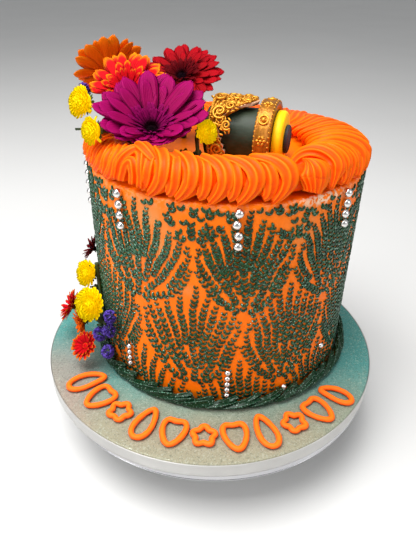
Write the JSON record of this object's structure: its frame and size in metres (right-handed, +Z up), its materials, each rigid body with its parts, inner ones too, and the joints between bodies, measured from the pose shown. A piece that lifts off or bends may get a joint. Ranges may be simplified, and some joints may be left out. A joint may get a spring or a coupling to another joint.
{
  "type": "tall decorated buttercream cake on a board and low metal stand",
  "caption": "Tall round orange buttercream cake with green stencilled fans, pearls, piped borders, flowers and a fondant drum, on a glitter board and low metal stand.",
  "frame": {"origin": "on the table under the middle of the board, at the bottom of the stand's base", "axes": "+Z up; -Y towards the front, where the piped motifs are; +X to the right, towards the end of the fondant drum"},
  "size_m": [0.3056, 0.3056, 0.339],
  "materials": {
    "polished_metal": "polished steel",
    "board_glitter": "glitter-dusted foil board, teal to olive gold",
    "satin_ribbon": "silver satin ribbon",
    "cake_buttercream": "smooth orange buttercream with green stencilled relief",
    "orange_piping": "soft orange piped buttercream",
    "green_piping": "dark green buttercream with lustre dust",
    "green_fondant": "dark green fondant, dusted",
    "gold_fondant": "gold-painted fondant relief",
    "yellow_fondant": "yellow fondant",
    "black_fondant": "black fondant",
    "magenta_petal": "fresh petal",
    "red_petal": "fresh petal",
    "flame_petal": "fresh petal, orange red with yellow tips",
    "orange_petal": "fresh petal seen from behind",
    "yellow_petal": "fresh button mum",
    "dark_petal": "dark red fresh petal",
    "purple_floret": "papery statice floret",
    "greenery": "stems and leaves"
  },
  "bodies": {
    "root": {"stand_plate": "polished_metal", "stand_column": "polished_metal", "stand_base": "polished_metal", "cake_board": "board_glitter", "board_ribbon": "satin_ribbon", "cake": "cake_buttercream", "border_top": "orange_piping", "border_foot": "green_piping", "drum_barrel": "green_fondant", "drum_band": "gold_fondant", "drum_collar": "gold_fondant", "drum_head": "yellow_fondant", "drum_spot": "black_fondant", "gerbera_magenta": "magenta_petal", "gerbera_red": "red_petal", "gerbera_flame": "flame_petal", "gerbera_orange": "orange_petal", "mum_top_left": "yellow_petal", "mum_top_front": "yellow_petal", "mum_top_right": "yellow_petal", "mum_side_upper": "yellow_petal", "mum_side_lower": "yellow_petal", "bloom_side_left": "flame_petal", "bloom_side_back": "orange_petal", "bloom_side_low": "flame_petal", "bloom_side_dark": "dark_petal", "statice_side_a": "purple_floret", "statice_side_b": "purple_floret", "statice_side_c": "purple_floret", "statice_side_d": "purple_floret", "statice_top_back": "purple_floret", "side_greens": "greenery", "leaf_top_left": "greenery", "leaf_top_right": "greenery", "leaf_side": "greenery", "motif_01_paisley": "orange_piping", "motif_02_heart": "orange_piping", "motif_03_flower": "orange_piping", "motif_04_leaf": "orange_piping", "motif_05_heart": "orange_piping", "motif_06_flower": "orange_piping", "motif_07_heart": "orange_piping", "motif_08_leaf": "orange_piping", "motif_09_flower": "orange_piping", "motif_10_heart": "orange_piping", "motif_11_paisley": "orange_piping"}
  },
  "joints": []
}
